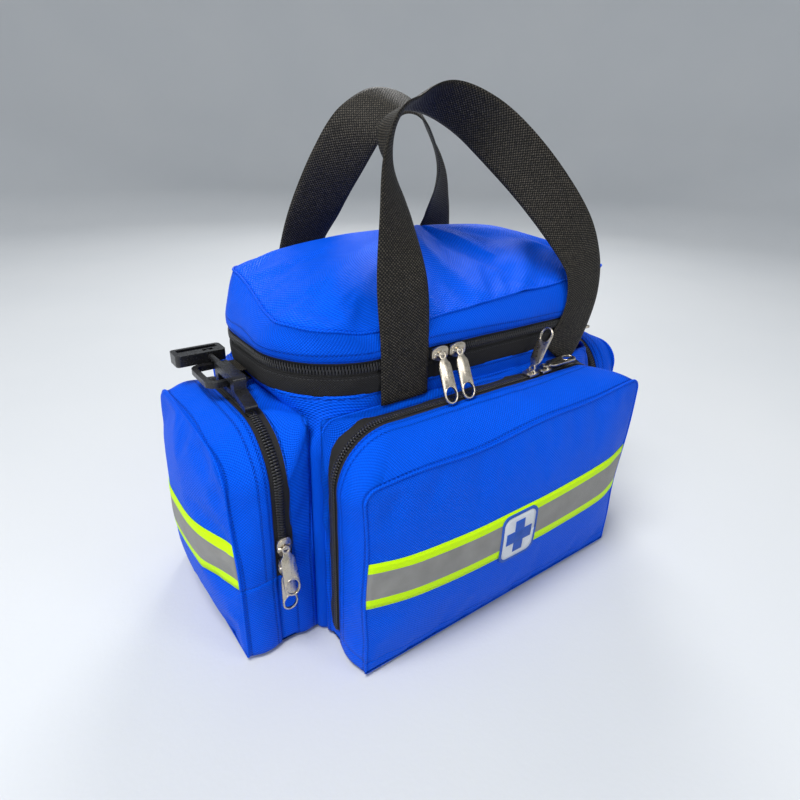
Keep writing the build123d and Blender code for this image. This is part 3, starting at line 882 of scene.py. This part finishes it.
        base = Sheet()
        base.grid(self.place(inner), 0, flip=True)
        for part in (low_left, low_right):
            base.grid(self.place(outer[:, part]), 0, flip=True)
            near_edge = self.outline(tape_near)[0][part]
            far_edge = self.outline(tape_far)[0][part]
            base.grid(self.place(np.stack([near_edge, far_edge])), 1, flip=True)
        base.grid(self.place(face[:low_rows + 1]), 2)
        floor = np.stack([
            np.stack([face[0, :, 0], np.full(face.shape[1], d), np.full(face.shape[1], self.low)], axis=-1)
            for d in np.linspace(0, self.depth, 10)
        ])
        base.grid(self.place(floor), 1)
        rim, out, cut = self.outline(self.depth)
        wall_line, out, cut = self.outline(0.7)
        add_tube(base, self.place(wall_line), 0.9, 1, up=self.up())
        foot = np.concatenate([rim[cut::-1], rim[:-cut - 2:-1]])
        add_tube(base, self.place(foot), 1.0, 1, up=(0, 0.3, 1))
        base.build(
            f"{name}_pocket_base_fabric", "bag", [NYLON_FLANGE, NYLON, NYLON_FACE_LOW],
            (name + "_pocket_base",), FABRIC,
        )

        side = Sheet()
        side.grid(self.place(outer[:, flap]), 0, flip=True)
        lip = outer[0, flap] - self.outline(tape_far)[1][flap] * 1.2
        side.grid(self.place(np.stack([lip, outer[0, flap]])), 0, flip=True)
        add_tube(side, self.place(rim[flap]), 1.0, 1, up=self.up())
        side.build(
            f"{name}_pocket_gusset_fabric", name + "_flap", [NYLON_SEAMED, NYLON],
            (name + "_pocket_gusset",), FABRIC,
        )

        front = Sheet()
        front.grid(self.place(face[low_rows:]), 0)
        panel = front.build(
            f"{name}_pocket_face_fabric", name + "_flap", [NYLON_ENDS if self.end else NYLON_FACE],
            (name + "_pocket_face",),
        )
        finer = panel.modifiers.new("finer", "SUBSURF")
        finer.levels = finer.render_levels = 1
        thicken(panel, FABRIC)

        seam, out, cut = self.outline(self.zip_d)
        path, normal = seam[flap], out[flap]
        zipper = Sheet()
        depths = np.linspace(self.zip_d + 0.1, tape_far + 2, 4)
        rows = [self.outline(d)[0][flap] + 0.2 * normal for d in depths]
        zipper.grid(self.place(np.stack(rows)), 0, flip=True)
        across = np.broadcast_to(np.array([0.0, 1.0, 0.0]), path.shape)
        start = self.place(path + 0.3 * normal)
        add_coil(zipper, start, self.turn(normal), self.turn(across), 1, 0.0)
        zipper.build(
            f"{name}_pocket_zip_teeth", name + "_flap", [TAPE_CLOTH, COIL],
            (name + "_pocket_zip",), merge=False,
        )
        return start, self.turn(normal), self.turn(-across), [
            self.place(self.outline(d)[0][flap] + 0.2 * normal)
            for d in np.linspace(tape_near - 2, self.zip_d - 0.1, 4)
        ]

    def turn(self, vectors):
        """Directions in the row frame."""
        origin = self.place(np.zeros(3))
        return self.place(np.asarray(vectors, float)) - origin

    def turn_flat(self, vector):
        """Direction given with y pointing into the wall."""
        return self.turn(np.array([vector[0], -vector[1], vector[2]]))

    def back(self, points):
        """Row-frame points in the pocket's frame."""
        x = points[..., 0] * self.cos + points[..., 1] * self.sin
        y = -points[..., 0] * self.sin + points[..., 1] * self.cos
        return np.stack([x, -y - self.wall, points[..., 2]], axis=-1)

    def up(self):
        return self.turn([0.0, 1.0, 0.0])

    def on_face(self, face, low_rows, x, z, lift):
        """Points on the filled face at x and z, lifted off it."""
        columns = np.interp(x, face[low_rows, :, 0], np.arange(face.shape[1]))
        rows = np.interp(z, face[:, face.shape[1] // 2, 2], np.arange(face.shape[0]))
        c0 = np.clip(np.floor(columns).astype(int), 0, face.shape[1] - 2)
        r0 = np.clip(np.floor(rows).astype(int), 0, face.shape[0] - 2)
        fc, fr = (columns - c0)[..., None], (rows - r0)[..., None]
        low = face[r0, c0] * (1 - fc) + face[r0, c0 + 1] * fc
        high = face[r0 + 1, c0] * (1 - fc) + face[r0 + 1, c0 + 1] * fc
        depth = (low * (1 - fr) + high * fr)[..., 1] + lift
        return np.stack(np.broadcast_arrays(x, depth, z), axis=-1)

    def trim(self, face, low_rows):
        """Reflective stripe across the face."""
        if self.stripe is None:
            return
        z = np.linspace(self.stripe[0], self.stripe[1], 12)[:, None]
        x = np.linspace(-self.half + 0.3, self.half - 0.3, 70)[None, :]
        x, z = np.broadcast_arrays(x, z)
        points = self.on_face(face, low_rows, x, z, 0.5)
        points[..., 1] += 0.35 * np.sin(np.linspace(0, math.pi, 12))[:, None]
        stripe = Sheet()
        stripe.grid(self.place(points), 0)
        obj = stripe.build(
            self.name + "_stripe_tape", self.name + "_flap", [REFLECTIVE],
            (self.name + "_stripe",),
        )
        thicken(obj, 0.5)


def badge(pocket, face, low_rows):
    """Rounded badge on the front face: white ground, blue border and a plain blue cross."""
    low, high = node_box("patch")
    cx, cz = (low[0] + high[0]) / 2 - 13.0, (low[2] + high[2]) / 2 + 6.0
    half_x, half_z, radius = (high[0] - low[0]) / 2, (high[2] - low[2]) / 2, 7.0

    def plate(scale_x, scale_z, lift, inner, slot, sheet):
        turns = np.linspace(0, 2 * math.pi, 73)
        hx, hz = half_x * scale_x, half_z * scale_z
        r = radius * min(scale_x, scale_z)
        corner_x = np.clip(np.cos(turns) * 99, -(hx - r), hx - r)
        corner_z = np.clip(np.sin(turns) * 99, -(hz - r), hz - r)
        ex = corner_x + r * np.cos(turns)
        ez = corner_z + r * np.sin(turns)
        steps = np.linspace(1.0, inner, 6)[:, None]
        x, z = cx + ex * steps, cz + ez * steps
        points = pocket.on_face(face, low_rows, x, z, lift)
        sheet.grid(pocket.place(points), slot, flip=False)

    sheet = Sheet()
    plate(1.0, 1.0, 1.5, 0.90, 1, sheet)
    plate(0.93, 0.93, 1.3, 0.0, 0, sheet)
    for wide, high in ((0.26, 0.66), (0.70, 0.24)):
        x = cx + half_x * wide * np.linspace(-1, 1, 9)[None, :]
        z = cz + half_z * high * np.linspace(-1, 1, 9)[:, None]
        x, z = np.broadcast_arrays(x, z)
        sheet.grid(pocket.place(pocket.on_face(face, low_rows, x, z, 1.62)), 1)
    obj = sheet.build(
        "badge_cloth", "front_flap", [PATCH_WHITE, PATCH_BLUE], ("patch",),
        merge=False,
    )
    thicken(obj, 0.9)


# ---- webbing handles ----
def spline(values, steps):
    """Catmull-Rom through rows of values."""
    padded = np.concatenate([2 * values[:1] - values[1:2], values, 2 * values[-1:] - values[-2:-1]])
    out = []
    for i in range(1, len(padded) - 2):
        a, b, c, d = padded[i - 1:i + 3]
        t = np.linspace(0, 1, steps, endpoint=False)[:, None]
        square = 2 * a - 5 * b + 4 * c - d
        cube = 3 * b - a - 3 * c + d
        out.append(0.5 * (2 * b + (c - a) * t + square * t ** 2 + cube * t ** 3))
    return np.concatenate(out + [values[-1:]])


FRONT_HANDLE = (
    ((-67, -77.4, 173.2), (1, 0, 0)),
    ((-68, -77.4, 214), (1, 0, 0)),
    ((-71, -77, 250), (1, 0, 0)),
    ((-69, -67, 287), (0.9, 0.43, 0)),
    ((-62, -49, 321), (0.6, 0.8, 0)),
    ((-42, -28, 345), (0.25, 0.95, -0.1)),
    ((-10, -19.5, 355), (0, 0.88, -0.45)),
    ((20, -32, 344), (-0.3, 0.78, -0.5)),
    ((49, -54, 315), (-0.62, 0.5, -0.5)),
    ((78, -72, 279), (-0.8, 0.3, -0.4)),
    ((98, -78.5, 250), (-0.95, 0.05, -0.15)),
    ((105, -79, 222), (-1, 0, 0)),
    ((100, -77.4, 195), (-1, 0, 0)),
    ((84, -77.4, 173.2), (-1, 0, 0)),
)
REAR_HANDLE = (
    ((-67, 77.4, 173.2), (1, 0, 0)),
    ((-66, 77.4, 215), (1, 0, 0)),
    ((-60, 76, 250), (1, 0, 0)),
    ((-53, 61, 282), (0.9, -0.4, -0.1)),
    ((-47, 41, 312), (0.8, -0.6, -0.2)),
    ((-37, 25, 338), (0.5, -0.75, -0.35)),
    ((-16, 19, 354), (0.1, -0.88, -0.45)),
    ((12, 22, 348), (-0.3, -0.85, -0.4)),
    ((40, 36, 324), (-0.5, -0.8, -0.2)),
    ((60, 52, 299), (-0.75, -0.6, -0.1)),
    ((71, 66, 274), (-0.9, -0.35, 0)),
    ((77, 76, 248), (-1, 0, 0)),
    ((82, 77.4, 215), (-1, 0, 0)),
    ((84, 77.4, 173.2), (-1, 0, 0)),
)


def handle(name, stations):
    centre = spline(np.array([p for p, a in stations], float), 14)
    across = spline(np.array([unit(np.array(a, float)) for p, a in stations]), 14)
    tangent = unit(np.gradient(centre, axis=0))
    across = unit(across - tangent * (across * tangent).sum(axis=-1, keepdims=True))
    normal = np.cross(tangent, across)
    run = arc_length(centre[None], 1)[0]
    place = np.linspace(-1, 1, 15)
    # Selvedges are rounded and the strap cups very slightly along its length.
    half_t = WEB_T / 2 * np.sqrt(np.clip(1 - np.abs(place) ** 10, 0.02, 1))
    cup = 0.5 * (place ** 2 - 0.4)
    rows = []
    cloth = []
    for side in (1, -1):
        order = range(15) if side > 0 else range(14, -1, -1)
        for j in order:
            rows.append(centre + across * (WEB_W / 2 * place[j]) + normal * (cup[j] + side * half_t[j]))
            cloth.append(np.stack([run, np.full(len(run), WEB_W * MM * (place[j] + 1) / 2)], axis=-1))
    rows.append(rows[0])
    cloth.append(cloth[0])
    sheet = Sheet()
    sheet.grid(np.stack(rows), 0, cloth=np.stack(cloth), flip=True)
    for end in (0, -1):
        cap = np.stack([np.stack(rows)[:15, end], np.stack(rows)[15:30, end][::-1]])
        sheet.grid(cap, 0, flip=end == 0)
    sheet.build(name + "_webbing", name, [WEBBING], (name,))


# ---- sliders and pull tabs ----
def frame_of(origin, x_dir, z_dir):
    """Rotation columns and origin of a slider's own frame."""
    x, z = np.array(x_dir, float), np.array(z_dir, float)
    return np.stack([x, np.cross(z, x), z], axis=1), np.array(origin, float)


def pocket_frame(pocket, origin, x_dir, z_dir):
    turned, start = frame_of(origin, x_dir, z_dir)
    world = np.stack([pocket.turn_flat(turned[:, i]) for i in range(3)], axis=1)
    return world, pocket.place(np.array([start[0], -start[1], start[2]]))


def rotate_x(points, degrees):
    c, s = math.cos(math.radians(degrees)), math.sin(math.radians(degrees))
    x, y, z = points[:, 0], points[:, 1], points[:, 2]
    return np.stack([x, y * c - z * s, y * s + z * c], axis=-1)


def rotate_z(points, degrees):
    c, s = math.cos(math.radians(degrees)), math.sin(math.radians(degrees))
    x, y, z = points[:, 0], points[:, 1], points[:, 2]
    return np.stack([x * c - y * s, x * s + y * c, z], axis=-1)


def metal_part(name, body, node, pieces, bevel):
    """Joins (points, faces) solids into one nickel part with softened edges."""
    sheet = Sheet()
    for points, faces in pieces:
        sheet.solid(points, faces, 0)
    obj = sheet.build(name, body, [NICKEL], (node,), merge=False, outward=True)
    soften(obj, bevel, 2, 35)


def prism(outline, z0, z1, holes=()):
    """Plate between two heights with this outline (n, 2)."""
    n = len(outline)
    low = np.column_stack([outline, np.full(n, z0)])
    high = np.column_stack([outline, np.full(n, z1)])
    faces = [[j, (j + 1) % n, n + (j + 1) % n, n + j] for j in range(n)]
    faces.append(list(range(n - 1, -1, -1)))
    faces.append(list(range(n, 2 * n)))
    return np.concatenate([low, high]), faces


def sweep(path, width, height, across):
    """Rounded bar along a path, width measured along across."""
    path = np.asarray(path, float)
    tangent = unit(np.gradient(path, axis=0))
    side = unit(np.broadcast_to(np.asarray(across, float), path.shape))
    top = np.cross(side, tangent)
    turns = np.arange(10) * math.pi / 5
    rings = [path + side * (width / 2 * math.cos(t)) + top * (height / 2 * math.sin(t)) for t in turns]
    points = np.stack(rings, axis=1).reshape(-1, 3)
    faces = []
    for k in range(len(path) - 1):
        for j in range(10):
            faces.append([10 * k + j, 10 * k + (j + 1) % 10, 10 * k + 10 + (j + 1) % 10, 10 * k + 10 + j])
    faces.append(list(range(9, -1, -1)))
    faces.append([10 * len(path) - 10 + j for j in range(10)])
    return points, faces


def band_ring(outer, inner, thick):
    """Flat loop between two outlines (n, 2) in the x-z plane, thick along y."""
    n = len(outer)

    def flat(outline, y):
        return np.column_stack([outline[:, 0], np.full(n, y), outline[:, 1]])

    points = np.concatenate([flat(edge, y) for y in (-thick / 2, thick / 2) for edge in (outer, inner)])
    faces = []
    for j in range(n):
        k = (j + 1) % n
        faces.append([j, k, n + k, n + j])
        faces.append([2 * n + k, 2 * n + j, 3 * n + j, 3 * n + k])
        faces.append([k, j, 2 * n + j, 2 * n + k])
        faces.append([n + j, n + k, 3 * n + k, 3 * n + j])
    return points, faces


def slider_shapes():
    """Slider body on a zip along X, outer side up."""
    t = np.linspace(0, 2 * math.pi, 40, endpoint=False)
    # Shield outline: round at the nose, two shoulders at the mouth.
    x = 7.0 * np.sign(np.cos(t)) * np.abs(np.cos(t)) ** 0.75
    y = 5.1 * np.sign(np.sin(t)) * np.abs(np.sin(t)) ** 0.6
    y = y * (1 - 0.16 * smooth(x, 0.0, 7.0))
    upper = prism(np.stack([x, y], -1), 2.6, 3.7)
    rim = prism(np.stack([x * 0.86, y * 0.80], -1), 3.5, 4.15)
    cheeks = []
    for side in (-1, 1):
        path = [(x, side * y, 1.8) for x, y in ((-5.5, 3.8), (-2, 3.8), (2, 3.6), (5.5, 3.2))]
        cheeks.append(sweep(path, 2.2, 0.8, (0, 0, 1)))
    return [upper, rim] + cheeks


def bail_shape():
    """Arched bail over the slider, along X."""
    turn = np.linspace(-0.35, math.pi + 0.35, 22)
    path = [(4.4 * math.cos(a), 0.0, 3.3 + 2.3 * max(math.sin(a), 0.0)) for a in turn]
    return sweep(path, 2.0, 1.3, (0, 1, 0))


def pull_shapes():
    """Long pull tab hanging along -Z: eye, tapered blade with a raised rim, and a large end ring."""
    side = [(2.5, -3.2), (3.0, -4.6), (4.7, -6.6), (5.1, -9.0), (5.3, -18.0), (5.5, -24.0), (5.6, -28.4)]
    foot = [(5.6 * math.cos(t), -28.4 - 5.6 * math.sin(t)) for t in np.linspace(0.15, math.pi - 0.15, 18)]
    corners = np.array(side + foot + [(-px, pz) for px, pz in side[::-1]])
    run = np.concatenate([[0], np.cumsum(np.linalg.norm(np.diff(corners, axis=0), axis=1))])
    places = np.linspace(0, run[-1], 64)
    outer = np.stack([np.interp(places, run, corners[:, 0]), np.interp(places, run, corners[:, 1])], -1)
    angle = np.arctan2(outer[:, 0], outer[:, 1] + 27.6)
    hole = np.stack([4.35 * np.sin(angle), -27.6 + 5.1 * np.cos(angle)], -1)
    plate = band_ring(outer, hole, 1.5)
    lip = np.stack([5.5 * np.sin(angle), -27.7 + 6.1 * np.cos(angle)], -1)
    rim = band_ring(lip, hole, 2.0)
    ring = np.linspace(0, 2 * math.pi, 25)[:-1]
    eye_outer = np.stack([2.9 * np.sin(ring), -1.0 + 3.1 * np.cos(ring)], -1)
    eye_inner = np.stack([1.7 * np.sin(ring), -0.4 + 1.5 * np.cos(ring)], -1)
    eye = band_ring(eye_outer, eye_inner, 1.5)
    return [plate, rim, eye]


def fit_slider(name, turned, origin, across, lean):
    """Place the slider and its pull in their frame."""
    def world(points):
        return points @ turned.T + origin

    quarter = 90 if across else 0
    pieces = [(world(p), f) for p, f in slider_shapes()]
    points, faces = bail_shape()
    pieces.append((world(rotate_z(points, quarter)), faces))
    metal_part(name + "_slider_metal", name + "_slider_body", name + "_slider", pieces, 0.35)
    pieces = []
    for points, faces in pull_shapes():
        points = rotate_z(rotate_x(points, lean), quarter) + np.array([0, 0, 5.6])
        pieces.append((world(points), faces))
    metal_part(name + "_pull_metal", name + "_pull_body", name + "_pull", pieces, 0.3)


# ---- strap hardware ----
def hardware():
    """Moulded parts keep their CAD shape, with softened edges."""
    edges = {"left_d_ring": 0.9, "right_d_ring": 0.9, "snap_hook": 0.9, "strap_slot": 0.8}
    for node, width in edges.items():
        obj = frame["nodes"][node]
        obj.data.materials.clear()
        obj.data.materials.append(PLASTIC)
        soften(obj, width, 3, 30).harden_normals = True
    for side, name in ((1, "right"), (-1, "left")):
        low, high = node_box(name + "_d_ring")
        ring_x, y, z = 148.0, (low[1] + high[1]) / 2, (low[2] + high[2]) / 2
        turn = np.radians(np.linspace(-90, 90, 13))
        loop_top = np.stack([ring_x + 4 * np.cos(turn), 4 * np.sin(turn)], -1)[::-1]
        start = np.array([[138.0, 4.0], [143.0, 4.1]])
        path = np.concatenate([start, loop_top, start[::-1] * np.array([1, -1])])
        columns = np.linspace(-10.5, 10.5, 9)
        grid = np.stack([
            np.stack([side * path[:, 0], np.full(len(path), y + c), z + path[:, 1]], -1)
            for c in columns
        ])
        lug = Sheet()
        lug.grid(grid, 0, flip=side < 0)
        nodes = ("strap_tabs",) if side > 0 else ()
        lug.build(name + "_strap_lug", "bag", [WEBBING], nodes, 1.2)


# ---- assembly ----
FRONT = Pocket("front", 0, BODY_W / 2, 8.5, (60.5, 95.5), 0.3)
REAR = Pocket("rear", 180, BODY_W / 2, 8.0, None, 1.9)
LEFT = Pocket("left", -90, BODY_L / 2, 7.0, (63.0, 98.0), 3.1)
RIGHT = Pocket("right", 90, BODY_L / 2, 7.0, (63.0, 98.0), 4.6)
POCKETS = (FRONT, REAR, LEFT, RIGHT)

body_fabric()
band_fabric()
main_zip_half("main_zip_lower_teeth", "bag", ("main_zip_lower",), BAND_TOP - 2.0, ZIP_Z, 0.0)
main_zip_half("main_zip_upper_teeth", "lid", ("main_zip_upper",), LID_EDGE + 1.0, ZIP_Z, 1.0)
lid_grid, lid_pinned = lid_fabric()

jobs = [("lid_cloth", lid_grid, lid_pinned, True, 9.0, 0.02)]
flat_faces = []
for pocket in POCKETS:
    grid, pinned, low_rows = pocket.face()
    flat_faces.append((pocket, low_rows))
    jobs.append((pocket.name + "_cloth", pocket.place_square(grid), pinned, False, 8.0, pocket.slack))
filled = inflate(jobs)
finish_lid(filled[0])

coils = Sheet()
for (pocket, low_rows), grid in zip(flat_faces, filled[1:]):
    face = pocket.back(grid)
    start, normal, across, tape = pocket.sew(face, low_rows)
    coils.grid(np.stack(tape), 0)
    add_coil(coils, start, normal, across, 1, 1.0)
    pocket.trim(face, low_rows)
    if pocket is FRONT:
        badge(pocket, face, low_rows)
coils.build(
    "pocket_inner_zip_teeth", "bag", [TAPE_CLOTH, COIL], ("pocket_inner_zips",),
    merge=False,
)

handle("front_handle", FRONT_HANDLE)
handle("rear_handle", REAR_HANDLE)

for name, x in (("main_left", -40.0), ("main_right", -24.5)):
    turned, origin = frame_of((x, -ZIP_W / 2 - 0.4, ZIP_Z), (-1, 0, 0), (0, -1, 0))
    fit_slider(name, turned, origin, False, 115)
TOP_SLIDERS = (
    (FRONT, (46, 60.5), (-155, -91)),
    (REAR, (-14, 2), (92, -92)),
    (RIGHT, (-20, -4), (100, -92)),
)
for pocket, spots, leans in TOP_SLIDERS:
    for label, spot, lean in zip("ab", spots, leans):
        turned, origin = pocket_frame(pocket, (spot, -pocket.zip_d, pocket.zip_top), (1, 0, 0), (0, 0, 1))
        fit_slider(f"{pocket.name}_{label}", turned, origin, True, lean)
for label, height, lean in (("a", 86.5, -104), ("b", 70.5, -93)):
    turned, origin = pocket_frame(LEFT, (LEFT.half, -LEFT.zip_d, height), (0, 0, -1), (1, 0, 0))
    fit_slider(f"left_{label}", turned, origin, True, lean)
hardware()


# ---- stage, camera and light ----
def floor_material():
    m = Nodes("floor_paper")
    base = m.mix(m.noise(3.0), (0.60, 0.62, 0.64), (0.66, 0.67, 0.68))
    return m.finish(base, m.bump(m.noise(300.0), 0.0004, 0.3), 0.75)


def backdrop():
    """Pale sweep: a floor that curves up into a far wall all round."""
    radii = (0.0, 0.5, 1.2, 2.0, 2.5, 2.85, 3.0, 3.0)
    heights = (0.0, 0.0, 0.0, 0.0, 0.08, 0.35, 0.9, 2.6)
    turns = np.linspace(0, 2 * math.pi, 97)[:-1]
    points = []
    faces = []
    for r, h in zip(radii, heights):
        points.extend((r * math.cos(t), r * math.sin(t), h - 0.0006) for t in turns)
    for k in range(len(radii) - 1):
        for j in range(96):
            n = (j + 1) % 96
            faces.append([96 * k + j, 96 * k + n, 96 * k + 96 + n, 96 * k + 96 + j])
    mesh = bpy.data.meshes.new("backdrop")
    mesh.from_pydata(points, [], faces)
    mesh.polygons.foreach_set("use_smooth", [True] * len(mesh.polygons))
    mesh.materials.append(floor_material())
    obj = bpy.data.objects.new("backdrop", mesh)
    bpy.context.scene.collection.objects.link(obj)


def light(name, spot, target, size, power, colour=(1, 1, 1)):
    lamp = bpy.data.lights.new(name, "AREA")
    lamp.shape = "DISK"
    lamp.size = size
    lamp.energy = power
    lamp.color = colour
    obj = bpy.data.objects.new(name, lamp)
    obj.location = spot
    aim = mathutils.Vector(target) - mathutils.Vector(spot)
    obj.rotation_euler = aim.to_track_quat("-Z", "Y").to_euler()
    bpy.context.scene.collection.objects.link(obj)


def camera():
    """Camera at the measured place: 36.8 degrees left of the front, 25 degrees up, rolled 1.7."""
    azimuth, elevation, roll = (math.radians(a) for a in (-36.82, 25.03, 1.72))
    back = np.array([
        math.sin(azimuth) * math.cos(elevation),
        -math.cos(azimuth) * math.cos(elevation),
        math.sin(elevation),
    ])
    right = unit(np.cross(-back, (0, 0, 1)))
    up = np.cross(right, -back)
    rolled_right = math.cos(roll) * right + math.sin(roll) * up
    rolled_up = -math.sin(roll) * right + math.cos(roll) * up
    lens = bpy.data.cameras.new("camera")
    lens.lens = 25.83
    lens.sensor_width = 36.0
    lens.clip_start = 0.01
    obj = bpy.data.objects.new("camera", lens)
    turned = mathutils.Matrix([rolled_right, rolled_up, back]).transposed().to_4x4()
    turned.translation = (-0.2771, -0.3525, 0.3339)
    obj.matrix_world = turned
    bpy.context.scene.collection.objects.link(obj)
    bpy.context.scene.camera = obj


scene = bpy.context.scene
scene.view_settings.view_transform = "Standard"
world = bpy.data.worlds.new("studio")
world.use_nodes = True
world.node_tree.nodes["Background"].inputs[0].default_value = (0.86, 0.93, 1.0, 1.0)
world.node_tree.nodes["Background"].inputs[1].default_value = 0.38
scene.world = world
backdrop()
light("key", (-0.7, -0.25, 1.7), (0, 0, 0.15), 0.8, 26)
light("fill", (-1.7, -0.5, 0.5), (0, 0, 0.12), 1.0, 9, (0.9, 0.95, 1.0))
light("front", (0.7, -1.6, 0.9), (0, 0, 0.15), 0.7, 6)
light("rim", (0.9, 1.2, 1.3), (0, 0, 0.2), 0.8, 16)
camera()
